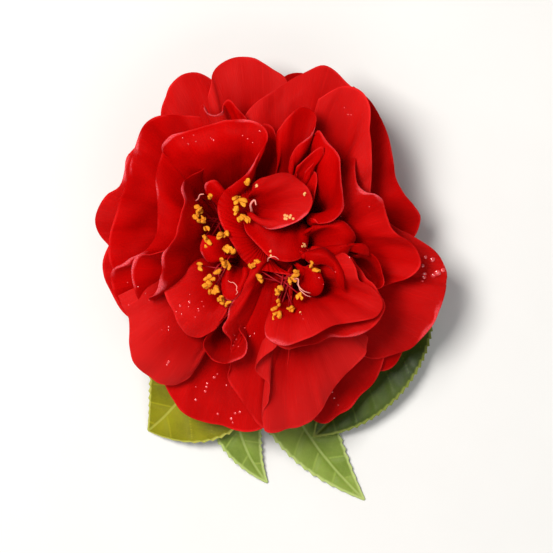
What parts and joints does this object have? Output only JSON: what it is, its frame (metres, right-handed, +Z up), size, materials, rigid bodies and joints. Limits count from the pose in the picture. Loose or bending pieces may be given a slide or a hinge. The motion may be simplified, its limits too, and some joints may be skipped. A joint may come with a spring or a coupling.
{
  "type": "camellia flower",
  "caption": "Peony-form camellia bloom, ruffled red petals round golden stamens, with calyx, short twig and serrated leaves.",
  "frame": {"origin": "middle of the part's box, on the surface that it lies on", "axes": "+Z up, out of the bloom's face; +Y towards the bloom's top as the picture shows it"},
  "size_m": [0.0985, 0.1262, 0.0506],
  "materials": {
    "petal_red": "satin, velvety petal",
    "gold": "matt, powdery",
    "sepal": "matt, downy",
    "bark": "rough bark",
    "leaf_lime": "glossy leaf, yellow green",
    "leaf_green": "glossy leaf, mid green",
    "leaf_dark": "glossy leaf, dark green"
  },
  "bodies": {
    "root": {"petals": "petal_red", "stamens_left": "gold", "stamens_back": "gold", "stamens_low": "gold", "stamens_front": "gold", "calyx": "sepal", "twig": "bark", "leaf_lime": "leaf_lime", "leaf_curved": "leaf_green", "leaf_low": "leaf_green", "leaf_right": "leaf_dark"}
  },
  "joints": []
}
